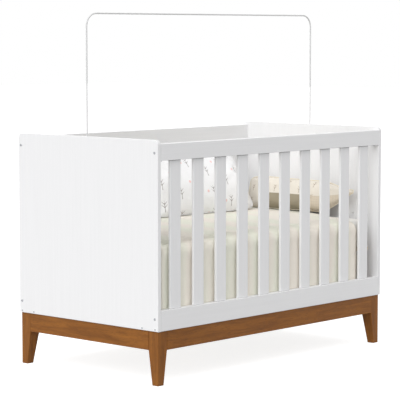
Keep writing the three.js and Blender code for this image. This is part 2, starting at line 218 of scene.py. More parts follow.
# %% [markdown]
# ## Shared effects as node groups
#
# Several finishes need the same effect with other numbers: streaks in paint, grain in wood,
# threads in cloth, strokes and spots in a print. Each is a shader node group, built once. A
# group puts out only masks and heights, and the Principled BSDF stays in each material, where
# its fixed values sit on its own sockets.


# %% Helpers for node groups
def start_group(name, inputs, outputs):
    """An empty node group, the outputs of its input node and the inputs of its output node."""
    group = bpy.data.node_groups.new(name, "ShaderNodeTree")
    for socket, value in inputs.items():
        kind = "NodeSocketVector" if isinstance(value, tuple) else "NodeSocketFloat"
        made = group.interface.new_socket(socket, in_out="INPUT", socket_type=kind)
        made.default_value = value
    for socket in outputs:
        group.interface.new_socket(socket, in_out="OUTPUT", socket_type="NodeSocketFloat")
    given = group.nodes.new("NodeGroupInput")
    return group, given.outputs, group.nodes.new("NodeGroupOutput").inputs


def give_out(group, result, **outputs):
    """Wires what a group works out to its outputs."""
    for name, output in outputs.items():
        group.links.new(output, result[name])
    print("group", group.name)


ORIGIN = (0.0, 0.0, 0.0)

# %% [markdown]
# ### Paint streaks
#
# Lacquer that was sprayed over a board keeps a trace of the board's lines: very faint, long
# and narrow. Noise stretched along one axis gives such lines, and a second, even noise gives
# the fine orange peel of any sprayed coat.

# %% Group: paint streaks
streaks, given, result = start_group(
    "paint_streaks",
    {"Vector": ORIGIN, "Streaks per Metre": 120.0, "Stretch": 0.02},
    ("Streak", "Height"),
)
stretch = add(streaks, "CombineXYZ", {"X": 1.0, "Y": 1.0, "Z": given["Stretch"]}).outputs[0]
drawn_out = vectors(streaks, "MULTIPLY", given["Vector"], stretch)
lines = noise_of(streaks, drawn_out, given["Streaks per Metre"], 3.0, Roughness=0.6)["Fac"]
peel = noise_of(streaks, given["Vector"], 900.0, 1.0)["Fac"]
relief = maths(streaks, "MULTIPLY_ADD", peel, 0.35, lines)
give_out(streaks, result, Streak=lines, Height=relief)

# %% [markdown]
# ### Wood grain
#
# Stained wood has long soft figure and short dark pores along its length. The figure is a
# noise stretched along Z, bent by a slower noise so that no line is straight; the pores are a
# much finer one, kept only where it is darkest. A Mapping node in the material turns Z to the
# length of each piece.

# %% Group: wood grain
grain, given, result = start_group(
    "wood_grain", {"Vector": ORIGIN, "Figure per Metre": 46.0}, ("Figure", "Pores", "Height")
)
sway = noise_of(grain, given["Vector"], 5.0, 1.0)["Color"]
bent = vectors(grain, "MULTIPLY_ADD", sway, (0.02, 0.02, 0.0), given["Vector"])
along = vectors(grain, "MULTIPLY", bent, (1.0, 1.0, 0.07))
per_metre = given["Figure per Metre"]
figure = noise_of(grain, along, per_metre, 4.0, Roughness=0.62, Distortion=0.6)["Fac"]
specks = noise_of(grain, along, 620.0, 1.0)["Fac"]
pores = mapped(grain, specks, 0.56, 0.70, interpolation_type="SMOOTHSTEP")
height = maths(grain, "MULTIPLY_ADD", pores, -0.6, figure)
give_out(grain, result, Figure=figure, Pores=pores, Height=height)

# %% [markdown]
# ### Woven threads
#
# Plain cloth is threads that cross over and under each other. Two sine waves at right angles,
# multiplied, rise and fall like that. The cloth's own UV map is in metres along its flat cut,
# so the threads follow every fold. A slow noise beside them stands for the uneven yarn.

# %% Group: woven threads
weave, given, result = start_group(
    "woven_threads", {"Vector": ORIGIN, "Threads per Metre": 1100.0}, ("Height", "Yarn")
)
turns = maths(weave, "MULTIPLY", given["Threads per Metre"], math.pi)
place = axes(weave, given["Vector"])
warp, weft = (maths(weave, "SINE", maths(weave, "MULTIPLY", place[k], turns)) for k in "XY")
over_under = maths(weave, "MULTIPLY_ADD", maths(weave, "MULTIPLY", warp, weft), 0.5, 0.5)
yarn = noise_of(weave, given["Vector"], 38.0, 4.0, Roughness=0.7)["Fac"]
give_out(weave, result, Height=over_under, Yarn=yarn)

# %% [markdown]
# ### Strokes and spots of a print
#
# A sprig in a cloth print is a few tapering strokes, and a dot is a soft spot. Both are worked
# out as a distance: to a line between two points for the stroke, and to a centre, measured in
# widths and heights, for the spot. The mask is 1 inside and fades over the soft edge.

# %% Group: one stroke of a print
stroke, given, result = start_group(
    "print_stroke", {"Vector": ORIGIN, "Start": ORIGIN, "End": ORIGIN, "Width": 0.002}, ("Mask",)
)
to_point = vectors(stroke, "SUBTRACT", given["Vector"], given["Start"])
whole = vectors(stroke, "SUBTRACT", given["End"], given["Start"])
reach = vectors(stroke, "DOT_PRODUCT", to_point, whole)
square = vectors(stroke, "DOT_PRODUCT", whole, whole)
share = add(stroke, "Clamp", {0: maths(stroke, "DIVIDE", reach, square)}).outputs[0]
gap = vectors(stroke, "DISTANCE", to_point, scaled(stroke, whole, share))
taper = maths(stroke, "MULTIPLY_ADD", share, -0.65, 1.0)
width = maths(stroke, "MULTIPLY", given["Width"], taper)
core = maths(stroke, "MULTIPLY", width, 0.35)
give_out(stroke, result, Mask=mapped(stroke, gap, core, width, 1.0, 0.0))

# %% Group: one spot of a print
spot, given, result = start_group(
    "print_spot",
    {"Vector": ORIGIN, "Centre": ORIGIN, "Half Size": (0.01, 0.01, 1.0), "Softness": 0.3},
    ("Mask",),
)
off_centre = vectors(spot, "SUBTRACT", given["Vector"], given["Centre"])
away = vectors(spot, "LENGTH", vectors(spot, "DIVIDE", off_centre, given["Half Size"]))
full_to = maths(spot, "SUBTRACT", 1.0, given["Softness"])
mask = mapped(spot, away, full_to, 1.0, 1.0, 0.0, interpolation_type="SMOOTHSTEP")
give_out(spot, result, Mask=mask)

# %% [markdown]
# ## Hard finishes
#
# The frame's pieces keep their shape and get materials that read Object coordinates. A node's
# place is in its mesh, so those coordinates are plain metres in the crib's own frame, and a
# streak or grain line keeps its true scale on every piece.


# %% Helpers for finishes
def place_group(tree, group, vector, **values):
    """Places a shared effect in a material, with this finish's own values."""
    fixed = {socket.replace("_", " "): value for socket, value in values.items()}
    return add(tree, "Group", {"Vector": vector, **fixed}, node_tree=group).outputs


def object_metres(tree, turn=(0, 0, 0)):
    """Object coordinates, turned so that Z lies along the piece."""
    here = add(tree, "TexCoord").outputs["Object"]
    return add(tree, "Mapping", {"Vector": here, "Rotation": turn}).outputs[0]


def blend_colours(tree, mask, first, second, mode="MIX"):
    """Mixes two colours, each a fixed colour or another node's output."""
    terms = {0: mask, 6: first, 7: second}
    return add(tree, "Mix", terms, data_type="RGBA", blend_type=mode).outputs[2]


def show(tree, shader, base, height, depth, strength, roughness=None):
    """Wires a colour, a roughness and a relief of the given depth in metres to the shader."""
    relief = {"Strength": strength, "Distance": depth, "Height": height}
    tree.links.new(base, shader.inputs["Base Color"])
    tree.links.new(add(tree, "Bump", relief).outputs[0], shader.inputs["Normal"])
    if roughness:
        tree.links.new(roughness, shader.inputs["Roughness"])


ALONG_X, ALONG_Y, ALONG_Z = (0, math.pi / 2, 0), (math.pi / 2, 0, 0), (0, 0, 0)
print("finish helpers ready")

# %% [markdown]
# ### White lacquer
#
# Satin white over board: the streaks change the white by less than one step in a hundred and the
# gloss a little more, which is how such a panel shows its lines in raking light. Panels and
# slats run upright and rails lie along the crib, so there is one material for each. The slats
# have their own, with a thin grey line of painted shade where a slat meets a rail. It stands
# for the shadow in the joint: the shapes themselves meet without a gap.


# %% White lacquer and white steel
def lacquer(name, turn):
    material, tree, shader = start_material(name, colour(232, 232, 233), 0.42)
    paint = place_group(
        tree, streaks, object_metres(tree, turn), Streaks_per_Metre=95.0, Stretch=0.025
    )
    even = mapped(tree, paint["Streak"], 0.35, 0.65)
    white = blend_colours(tree, even, colour(230, 230, 231), colour(232, 232, 233))
    gloss = maths(tree, "MULTIPLY_ADD", even, -0.05, 0.45)
    show(tree, shader, white, paint["Height"], 0.00015, 0.16, gloss)
    return material, tree, shader, white


upright_lacquer, *_ = lacquer("upright_lacquer", ALONG_Z)
lengthwise_lacquer, *_ = lacquer("lengthwise_lacquer", ALONG_X)

# Painted shade: a thin grey line at both ends of each slat stands for the shadow in its joint with a
# rail.
JOINT_SHADE_WIDTH, JOINT_SHADE_DEPTH = 0.0030, 0.75
slat_lacquer_painted_shade, tree, shader, white = lacquer("slat_lacquer_painted_shade", ALONG_Z)
slat_top, slat_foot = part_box("front_top_rail")[0].z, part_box("front_bottom_rail")[1].z
height = axes(tree, add(tree, "TexCoord").outputs["Object"])["Z"]
below_rail = maths(tree, "GREATER_THAN", height, slat_top - JOINT_SHADE_WIDTH)
above_rail = maths(tree, "LESS_THAN", height, slat_foot + 0.3 * JOINT_SHADE_WIDTH)
joint_shade = maths(tree, "MULTIPLY", maths(tree, "MAXIMUM", below_rail, above_rail), JOINT_SHADE_DEPTH)
joint_shaded_white = blend_colours(tree, joint_shade, white, colour(120, 120, 120))
tree.links.new(joint_shaded_white, shader.inputs["Base Color"])

arch_coat, tree, shader = start_material("arch_powder_coat", colour(208, 208, 208), 0.35)
coat = place_group(tree, streaks, object_metres(tree), Streaks_per_Metre=400.0, Stretch=1.0)
soft_white = blend_colours(tree, coat["Streak"], colour(200, 200, 201), colour(214, 214, 214))
show(tree, shader, soft_white, coat["Height"], 0.0002, 0.6)
print("white finishes:", upright_lacquer.name, lengthwise_lacquer.name, arch_coat.name)

# %% [markdown]
# ### Stained wood
#
# The base is a warm mid brown. The stain goes deeper into the soft figure and the pores, so
# the figure mixes two browns and the pores darken the result. The varnish over it is nearly
# matt, so the shader's specular level is low.


# %% Stained wood
def stained_wood(name, turn):
    material, tree, shader = start_material(
        name, colour(138, 87, 33), 0.5, Specular_IOR_Level=0.2
    )
    where = object_metres(tree, turn)
    wood = place_group(tree, grain, where, Figure_per_Metre=62.0)
    figured = mapped(tree, wood["Figure"], 0.34, 0.66)
    brown = blend_colours(tree, figured, colour(124, 76, 26), colour(152, 98, 40))
    cloudy = noise_of(tree, where, 7.0, 2.0)["Fac"]
    patchy = blend_colours(tree, cloudy, brown, colour(238, 230, 222), "MULTIPLY")
    dark = maths(tree, "MULTIPLY", wood["Pores"], 0.45)
    grained = blend_colours(tree, dark, patchy, colour(84, 50, 18))
    gloss = maths(tree, "MULTIPLY_ADD", wood["Figure"], 0.2, 0.38)
    show(tree, shader, grained, wood["Height"], 0.0005, 0.5, gloss)
    return material


wood_along_x = stained_wood("stained_wood_along_x", ALONG_X)
wood_along_y = stained_wood("stained_wood_along_y", ALONG_Y)
wood_upright = stained_wood("stained_wood_upright", ALONG_Z)
print("stained wood in three directions")

# %% [markdown]
# ### Bare board and zinc
#
# The mattress board and the battens are bare wood, pale and matt, with the same grain in
# lighter colours. Screws, nuts and the hanging angles are zinc plated: a metal whose
# brightness varies in small crystals, shown by a Voronoi pattern under a rather rough gloss.

# %% Bare board and zinc
bare_board, tree, shader = start_material("bare_board", colour(206, 186, 152), 0.75)
wood = place_group(tree, grain, object_metres(tree, ALONG_X), Figure_per_Metre=40.0)
pale = blend_colours(tree, wood["Figure"], colour(192, 168, 130), colour(222, 204, 172))
fleck = maths(tree, "MULTIPLY", wood["Pores"], 0.3)
flecked = blend_colours(tree, fleck, pale, colour(140, 110, 74))
show(tree, shader, flecked, wood["Height"], 0.0006, 0.6)

zinc, tree, shader = start_material("zinc_plate", colour(176, 178, 181), 0.38, Metallic=1.0)
where = object_metres(tree)
crystals = add(tree, "TexVoronoi", {"Scale": 900.0, "Vector": where}).outputs["Distance"]
rub = noise_of(tree, where, 160.0, 3.0)["Fac"]
plate = blend_colours(tree, rub, colour(150, 152, 156), colour(196, 198, 200))
sparkle = maths(tree, "MULTIPLY_ADD", crystals, 0.25, 0.3)
show(tree, shader, plate, rub, 0.0001, 0.4, sparkle)
print("bare board and zinc ready")

# %% Give every hard node its finish
def hard_finish(name):
    """The material of a CAD node, by its place on the crib."""
    if "_slat_" in name:
        return slat_lacquer_painted_shade
    if name.endswith("_panel"):
        return upright_lacquer
    if name.endswith("_rail"):
        return lengthwise_lacquer
    if name.endswith("_leg"):
        return wood_upright
    if name in ("left_apron", "right_apron"):
        return wood_along_y
    if name.endswith("_apron"):
        return wood_along_x
    if name == "net_arch":
        return arch_coat
    if name.startswith("mattress_board") or name.endswith("_cleat"):
        return bare_board
    return zinc


SOFT_NODES = ("mattress", "quilt", "white_pillow", "cream_pillow")
for name, node in nodes.items():
    if name not in SOFT_NODES:
        for place in node.material_slots:
            place.material = hard_finish(name)
print(len(nodes) - len(SOFT_NODES), "hard nodes finished")

# %% [markdown]
# ## Bolts, screws and cross nuts
#
# Each bolt of the frame is made again with a head whose rim is rounded and whose hexagon socket
# is deeper. All these fasteners are round, so one profile is spun about an axis, and
# then the rings of its recess are pushed out or in to the outline of a hexagon, a cross or a
# slot. Spinning is simpler than cutting a recess, and leaves clean faces.


# %% Helpers for new pieces
def keep_piece(name, shape, body, material, smooth_below=40):
    """Turns a bmesh into a piece of the crib that rides on a body."""
    mesh = bpy.data.meshes.new(name)
    shape.to_mesh(mesh)
    shape.free()
    mesh.materials.clear()
    mesh.materials.append(material)
    mesh.shade_smooth()
    mesh.set_sharp_from_angle(angle=math.radians(smooth_below))
    piece = bpy.data.objects.new(name, mesh)
    bpy.context.collection.objects.link(piece)
    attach(piece, body)
    return piece


def hexagon(angle):
    return 1 / math.cos((angle + math.pi / 6) % (math.pi / 3) - math.pi / 6)


def cross(angle):
    return 0.42 + 0.58 * abs(math.cos(2 * angle)) ** 3


def slot_line(angle):
    return min(1.0, 0.16 / max(abs(math.sin(angle)), 0.001))


def turned_fastener(profile, recess_rings, recess, centre, axis):
    """Spins (radius, height) points about an axis. The recess rings follow its outline."""
    shape = bmesh.new()
    points = [shape.verts.new((radius, 0, height)) for radius, height in profile]
    edges = [shape.edges.new(pair) for pair in zip(points, points[1:])]
    bmesh.ops.spin(
        shape,
        geom=points + edges,
        cent=(0, 0, 0),
        axis=(0, 0, 1),
        angle=2 * math.pi,
        steps=24,
        use_merge=True,
    )
    bmesh.ops.remove_doubles(shape, verts=shape.verts[:], dist=1e-6)
    for radius, height in recess_rings:
        for point in shape.verts:
            across = math.hypot(point.co.x, point.co.y)
            if abs(across - radius) < 1e-6 and abs(point.co.z - height) < 1e-6:
                scale = recess(math.atan2(point.co.y, point.co.x))
                point.co.x, point.co.y = point.co.x * scale, point.co.y * scale
    bmesh.ops.recalc_face_normals(shape, faces=shape.faces[:])
    turn = axis.to_track_quat("Z", "Y").to_matrix().to_4x4()
    bmesh.ops.transform(shape, matrix=Matrix.Translation(centre) @ turn, verts=shape.verts[:])
    return shape


MM = 0.001
print("fastener helpers ready")

# %% Detailed bolts
def bolt_shape(seat, axis, head, head_height, shank, length):
    """A bolt whose head stands on its seat and faces along the axis. Sizes are radii."""
    socket, floor_depth = 0.5 * head, 0.7 * head_height
    profile = (
        (0, head_height - floor_depth),
        (socket, head_height - floor_depth),
        (socket + 0.05 * MM, head_height),
        (head - 0.8 * MM, head_height),
        (head - 0.2 * MM, head_height - 0.4 * MM),
        (head, head_height - 1.0 * MM),
        (head, 0),
        (shank, 0),
        (shank, -length),
        (0, -length),
    )
    return turned_fastener(profile, profile[1:3], hexagon, seat, axis)


HEAD_HEIGHT = {"rail": 2.2 * MM, "hanging": 3.0 * MM}
bolts = [name for name in nodes if name.endswith("_bolt")]
for name in bolts:
    low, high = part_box(name)
    middle, size = (low + high) / 2, high - low
    head_height = HEAD_HEIGHT["hanging" if "hanging" in name else "rail"]
    outwards = -1 if name.startswith("left") else 1
    if "hanging" in name:
        outwards = -outwards
    seat = middle + Vector((outwards * (size.x / 2 - head_height), 0, 0))
    shape = bolt_shape(
        seat, Vector((outwards, 0, 0)), size.y / 2, head_height, 2.9 * MM, size.x - head_height
    )
    bolt = keep_piece("detailed_" + name, shape, "crib_frame", zinc)
    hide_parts(name)
print(len(bolts), "bolts with hexagon sockets")

# %% [markdown]
# The end panels are also held low down by small screws with cross recesses, two near each
# lower corner. Each rail bolt ends in a cross nut, a steel barrel let into the rail. Those of
# the top rails come from below and stand a little proud; those of the bottom rails are let in
# from the inner face and are almost flush with it.

# %% Base screws and cross nuts
SCREW_HEIGHT, SCREW_HEAD, SCREW_RISE = 0.2135, 3.4 * MM, 1.3 * MM
SCREW_PLACES = (-0.366, -0.299, 0.299, 0.366)
panel_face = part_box("right_end_panel")[1].x
rail_low, rail_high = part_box("front_top_rail")
low_rail_low, low_rail_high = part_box("front_bottom_rail")
SHANK, POINT_AT = 1.6 * MM, 16 * MM

screw_profile = (
    (0, SCREW_RISE * 0.2),
    (SCREW_HEAD * 0.5, SCREW_RISE * 0.3),
    (SCREW_HEAD * 0.55, SCREW_RISE),
    (SCREW_HEAD * 0.85, SCREW_RISE * 0.8),
    (SCREW_HEAD, SCREW_RISE * 0.2),
    (SCREW_HEAD, 0),
    (SHANK, 0),
    (SHANK, 2 * MM - POINT_AT),
    (0, -POINT_AT),
)
made = 0
for side, outwards in (("left", -1), ("right", 1)):
    for number, across in enumerate(SCREW_PLACES, start=1):
        shape = turned_fastener(
            screw_profile,
            screw_profile[1:3],
            cross,
            Vector((outwards * panel_face, across, SCREW_HEIGHT)),
            Vector((outwards, 0, 0)),
        )
        keep_piece(f"{side}_base_screw_{number}", shape, "crib_frame", zinc)
        made += 1

NUT_RADIUS, NUT_PROUD, NUT_SUNK = 4.6 * MM, 3.2 * MM, 9 * MM
SLOT_FLOOR, NUT_FROM_END, NUT_RISE = NUT_PROUD - 1.4 * MM, 13.5 * MM, 47 * MM
nut_profile = (
    (0, SLOT_FLOOR),
    (NUT_RADIUS * 0.8, SLOT_FLOOR),
    (NUT_RADIUS * 0.81, NUT_PROUD),
    (NUT_RADIUS - 0.4 * MM, NUT_PROUD),
    (NUT_RADIUS, NUT_PROUD - 0.4 * MM),
    (NUT_RADIUS, -NUT_SUNK),
    (0, -NUT_SUNK),
)
nut_places = []
for side, along in (("left", -1), ("right", 1)):
    for face, across in (("front", -1), ("back", 1)):
        middle = along * (rail_high.x - NUT_FROM_END)
        under = Vector((middle, across * 0.367, rail_low.z))
        nut_places.append((f"{side}_{face}_top_cross_nut", under, Vector((0, 0, -1))))
        inner_face = across * (-low_rail_high.y + 2.9 * MM)
        inner = Vector((middle, inner_face, low_rail_low.z + NUT_RISE))
        nut_places.append((f"{side}_{face}_bottom_cross_nut", inner, Vector((0, -across, 0))))
for name, centre, axis in nut_places:
    shape = turned_fastener(nut_profile, nut_profile[1:3], slot_line, centre, axis)
    keep_piece(name, shape, "crib_frame", zinc)
    made += 1
print(made, "screws and nuts")

# %% [markdown]
# ## Cloth finishes
#
# All the bedding is woven cloth, so each finish starts from the same weave and the same uneven
# yarn, and differs in colour, thread count and print. The gaps between the threads are painted
# shade, a darker tone of the colour. A little sheen on the shader gives the soft bright edge of
# cotton. Every cloth piece has a UV map called "cut", in metres along its flat cloth, which the
# threads and the prints follow. The quilt's cotton also has long soft stripes of warmer and
# cooler cream. Its top is painted darker and the part that hangs painted brighter: painted shade
# and painted light. Both are tones of the colour and leave the shape as it is.


# %% Cloth material
def cloth(name, base, threads, thread_depth, sheen):
    """A cotton cloth, with its tree, coordinates and colour for a print to go on."""
    material, tree, shader = start_material(
        name, base, 0.85, Sheen_Weight=sheen, Sheen_Roughness=0.5, Specular_IOR_Level=0.25
    )
    cut = add(tree, "UVMap", uv_map="cut").outputs[0]
    woven = place_group(tree, weave, cut, Threads_per_Metre=threads)
    # Painted shade: the gaps between the threads take a darker tone of the base colour.
    deeper, gap_shade_colour = (tuple(c * part for c in base[:3]) + (1,) for part in (0.93, 0.7))
    tone = blend_colours(tree, woven["Yarn"], deeper, base)
    gap_shade_mask = maths(tree, "MULTIPLY_ADD", woven["Height"], -0.16, 0.16)
    shaded = blend_colours(tree, gap_shade_mask, tone, gap_shade_colour)
    rough = maths(tree, "MULTIPLY_ADD", woven["Yarn"], 0.12, 0.78)
    show(tree, shader, shaded, woven["Height"], thread_depth, 0.6, rough)
    return material, tree, shader, cut, shaded


DRAPE_LIGHT_FROM, DRAPE_LIGHT_TO = 0.655, 0.700
ticking, *_ = cloth("mattress_ticking", colour(238, 236, 231), 900.0, 0.0002, 0.15)
quilt_cotton, tree, shader, cut, plain = cloth(
    "cream_quilt_cotton", colour(236, 233, 226), 1000.0, 0.0002, 0.05
)
drawn_out = vectors(tree, "MULTIPLY", cut, (1.0, 0.12, 1.0))
warmth = mapped(tree, noise_of(tree, drawn_out, 9.0, 0.0)["Fac"], 0.4, 0.6)
tints = blend_colours(tree, warmth, colour(255, 251, 247), colour(250, 253, 245))
tinted = blend_colours(tree, 1.0, plain, tints, "MULTIPLY")
# Painted light and shade: the top of the quilt is darkened and the part that hangs brightened.
painted_drape_light = mapped(tree, axes(tree, cut)["Y"], DRAPE_LIGHT_FROM, DRAPE_LIGHT_TO, 0.94, 1.18)
tree.links.new(scaled(tree, tinted, painted_drape_light), shader.inputs["Base Color"])
hem_cotton, *_ = cloth("cream_hem_cotton", colour(236, 231, 218), 700.0, 0.0003, 0.05)
seam_white, *_ = cloth("white_seam_cord", colour(240, 240, 240), 700.0, 0.0002, 0.15)
seam_cream, *_ = cloth("cream_seam_cord", colour(238, 228, 205), 700.0, 0.0002, 0.15)
print("plain cloths: ticking, quilt, hem and seam cords")

# %% [markdown]
# ### The prints
#
# Both pillow cloths carry a plain repeat, as cloth by the metre does: one small sprig in a
# square cell, with every second column set down by half a cell. The white cloth adds a soft
# dot, and the cream one has a khaki strip that runs into a fine beige check. The cell is worked
# out from the flat coordinates by a remainder, so a whole cloth needs only one sprig.

# %% Group: band and check
band, given, result = start_group(
    "print_band", {"Vector": ORIGIN, "Low": ORIGIN, "High": ORIGIN}, ("Mask",)
)
here, low, high = (axes(band, given[name]) for name in ("Vector", "Low", "High"))
inside = []
for side in "XY":
    above = maths(band, "SUBTRACT", here[side], low[side])
    below = maths(band, "SUBTRACT", high[side], here[side])
    inside.append(maths(band, "MINIMUM", above, below))
depth_in = maths(band, "MINIMUM", *inside)
give_out(band, result, Mask=mapped(band, depth_in, 0.0, 0.0015))

check, given, result = start_group(
    "fine_check", {"Vector": ORIGIN, "Spacing": 0.011, "Line Width": 0.0012}, ("Mask",)
)
here = axes(check, given["Vector"])
half = maths(check, "MULTIPLY", given["Spacing"], 0.5)
to_lines = [maths(check, "PINGPONG", here[side], half) for side in "XY"]
nearest_line = maths(check, "MINIMUM", *to_lines)
on_line = maths(check, "LESS_THAN", nearest_line, given["Line Width"])
give_out(check, result, Mask=on_line)


# %% White cotton with sprigs and dots
def half_drop(tree, cut, cell):
    """Coordinates inside a square cell that repeats, every second column half a cell lower."""
    place = axes(tree, cut)
    column = maths(tree, "FLOOR", maths(tree, "DIVIDE", place["X"], cell))
    odd = maths(tree, "FLOORED_MODULO", column, 2.0)
    lowered = maths(tree, "MULTIPLY_ADD", odd, cell / 2, place["Y"])
    inside = {"X": place["X"], "Y": lowered}
    wrapped = {side: maths(tree, "FLOORED_MODULO", at, cell) for side, at in inside.items()}
    return add(tree, "CombineXYZ", wrapped).outputs[0]


def print_sprigs(tree, cut, ground, cell, ink, depth):
    """Prints one upright sprig per cell: a stem with two pairs of side twigs."""
    inside = half_drop(tree, cut, cell)
    foot, tip = (0.5 * cell, 0.25 * cell), (0.5 * cell, 0.75 * cell)
    strokes = [(foot, tip)]
    for share in (0.4, 0.7):
        fork = (foot[0], foot[1] + share * (tip[1] - foot[1]))
        for side in (-1, 1):
            strokes.append((fork, (fork[0] + side * 0.14 * cell, fork[1] + 0.12 * cell)))
    for start, end in strokes:
        line = place_group(tree, stroke, inside, Start=(*start, 0), End=(*end, 0), Width=0.03 * cell)
        ground = blend_colours(tree, maths(tree, "MULTIPLY", line["Mask"], depth), ground, ink)
    return ground


SPRIG_GREY, DOT_ROSE = colour(140, 132, 130), colour(240, 204, 200)
WHITE_CELL, DOT_SIZE, INK_DEPTH = 0.100, 0.008, 0.7

white_print, tree, shader, cut, ground = cloth(
    "white_sprig_print", colour(247, 247, 248), 1200.0, 0.00015, 0.05
)
dots = place_group(
    tree,
    spot,
    half_drop(tree, cut, WHITE_CELL),
    Centre=(0.15 * WHITE_CELL, 0.5 * WHITE_CELL, 0),
    Half_Size=(DOT_SIZE, DOT_SIZE, 1),
    Softness=0.4,
)
dotted = blend_colours(tree, dots["Mask"], ground, DOT_ROSE)
sprigged = print_sprigs(tree, cut, dotted, WHITE_CELL, SPRIG_GREY, INK_DEPTH)
tree.links.new(sprigged, shader.inputs["Base Color"])
print("white cotton, one sprig in", WHITE_CELL, "m")

# %% Cream cotton with sprigs over a khaki strip
TWIG, KHAKI, BEIGE = colour(128, 104, 80), colour(149, 140, 120), colour(196, 180, 155)
CREAM_CELL, CREAM_COVER = 0.072, (0.600, 0.172)
KHAKI_FROM, KHAKI_TO = CREAM_COVER[0] / 6, 0.6 * CREAM_COVER[0]
STRIP_HEIGHT, PAST_EDGE = 0.48 * CREAM_COVER[1], 0.2

cream_print, tree, shader, cut, ground = cloth(
    "cream_sprig_print", colour(223, 216, 204), 1200.0, 0.00015, 0.05
)
ground = print_sprigs(tree, cut, ground, CREAM_CELL, TWIG, INK_DEPTH)
khaki_strip, beige_strip = (
    place_group(tree, band, cut, Low=(start, -PAST_EDGE, 0), High=(end, STRIP_HEIGHT, 0))["Mask"]
    for start, end in ((KHAKI_FROM, KHAKI_TO), (KHAKI_TO, CREAM_COVER[0] + PAST_EDGE))
)
lines = place_group(tree, check, cut, Spacing=0.013, Line_Width=0.0007)["Mask"]
beige = blend_colours(tree, maths(tree, "MULTIPLY", lines, 0.35), BEIGE, TWIG)
ground = blend_colours(tree, maths(tree, "MULTIPLY", beige_strip, 0.6), ground, beige)
ground = blend_colours(tree, khaki_strip, ground, KHAKI)
tree.links.new(ground, shader.inputs["Base Color"])
print("cream cotton, one sprig in", CREAM_CELL, "m")

# %% [markdown]
# ## The mattress
#
# A cot mattress is a firm foam block in a quilted cover, with a piped seam round its top and
# its bottom. It starts as a cube cut into small faces by many flat cuts. Then each point is
# drawn in to rounded edges, and the top is pressed into diamonds, shallow because foam hardly
# gives. A cloth simulation would add little here, because foam holds the cover taut.

# %% Mattress
mattress_low, mattress_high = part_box("mattress")
SIDE_GIVE, EDGE_ROUND = 2.0 * MM, 34 * MM
DIAMOND, TUFT_DEPTH, CROWN = 96 * MM, 3.5 * MM, 4.0 * MM


def round_into(point, low, high, radius):
    """Moves a point on a box to the same box with rounded edges and corners."""
    inner = point.copy()
    for k in range(3):
        inner[k] = min(max(point[k], low[k] + radius), high[k] - radius)
    out = point - inner
    if out.length > 1e-9:
        point.xyz = inner + out.normalized() * radius


def block(low, high, steps, fine_edge):
    """A box cut into small faces, with extra cuts near its edges."""
    shape = bmesh.new()
    bmesh.ops.create_cube(shape, size=1)
    bmesh.ops.scale(shape, vec=high - low, verts=shape.verts[:])
    bmesh.ops.translate(shape, vec=(low + high) / 2, verts=shape.verts[:])
    for k in range(3):
        count = round((high[k] - low[k]) / steps[k])
        cuts = {low[k] + (high[k] - low[k]) * i / count for i in range(1, count)}
        cuts |= {low[k] + fine_edge * s for s in (0.15, 0.4, 0.7)}
        cuts |= {high[k] - fine_edge * s for s in (0.15, 0.4, 0.7)}
        normal = Vector([1.0 if i == k else 0.0 for i in range(3)])
        for cut_at in sorted(cuts):
            bmesh.ops.bisect_plane(
                shape,
                geom=shape.verts[:] + shape.edges[:] + shape.faces[:],
                plane_co=normal * cut_at,
                plane_no=normal,
            )
    return shape


def box_uv(shape):
    """Flat coordinates in metres for a boxy cover: each face is seen along its own normal."""
    layer = shape.loops.layers.uv.new("cut")
    for face in shape.faces:
        normal = [abs(c) for c in face.normal]
        k = normal.index(max(normal))
        first, second = [i for i in range(3) if i != k]
        for loop in face.loops:
            loop[layer].uv = (loop.vert.co[first], loop.vert.co[second])


low = mattress_low + Vector((SIDE_GIVE, SIDE_GIVE, 0))
high = mattress_high - Vector((SIDE_GIVE, SIDE_GIVE, 0))
shape = block(low, high, (12 * MM, 12 * MM, 15 * MM), EDGE_ROUND)
box_uv(shape)
middle = (low + high) / 2
for point in shape.verts:
    on_top = point.co.z > high.z - 0.1 * MM
    share_x = abs(point.co.x - middle.x) / (high.x - middle.x)
    share_y = abs(point.co.y - middle.y) / (high.y - middle.y)
    round_into(point.co, low, high, EDGE_ROUND)
    if on_top and max(share_x, share_y) < 0.999:
        diagonal = (point.co.x + point.co.y) * math.pi / DIAMOND
        other = (point.co.x - point.co.y) * math.pi / DIAMOND
        puff = abs(math.sin(diagonal) * math.sin(other)) ** 0.4
        fade = min(1, 12 * (1 - share_x), 8 * (1 - share_y))
        crown = CROWN * (1 - share_x**4) * (1 - share_y**4)
        point.co.z += fade * (crown - TUFT_DEPTH * (1 - puff))
    elif low.z + EDGE_ROUND < point.co.z < high.z - EDGE_ROUND:
        pull = 1.5 * MM * math.sin((point.co.z - low.z) / (high.z - low.z) * math.pi)
        outwards = Vector((point.co.x - middle.x, point.co.y - middle.y, 0))
        if share_x > 0.999:
            point.co.x -= math.copysign(pull, outwards.x)
        if share_y > 0.999:
            point.co.y -= math.copysign(pull, outwards.y)
mattress = keep_piece("quilted_mattress", shape, "made_bed", ticking, 60)
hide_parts("mattress")
print("mattress of", len(mattress.data.polygons), "faces")

# %% [markdown]
# Piping is a thin cord sewn into a seam. A closed path swept with a round section makes it,
# first as a curve with a bevel, then turned into a mesh so that it can carry a UV map.


# %% Piping round the mattress
def cord_piece(name, path, radius, body, material):
    """A thin cord swept along a closed path of points, as a mesh piece."""
    curve = bpy.data.curves.new(name, "CURVE")
    curve.dimensions = "3D"
    curve.bevel_depth, curve.bevel_resolution = radius, 1
    spline = curve.splines.new("POLY")
    spline.points.add(len(path) - 1)
    for place, point in zip(spline.points, path):
        place.co = (*point, 1)
    spline.use_cyclic_u = True
    swept = bpy.data.objects.new(name + "_path", curve)
    mesh = bpy.data.meshes.new_from_object(swept)
    bpy.data.objects.remove(swept)
    bpy.data.curves.remove(curve)
    shape = bmesh.new()
    shape.from_mesh(mesh)
    bpy.data.meshes.remove(mesh)
    bmesh.ops.recalc_face_normals(shape, faces=shape.faces[:])
    box_uv(shape)
    return keep_piece(name, shape, body, material, 60)


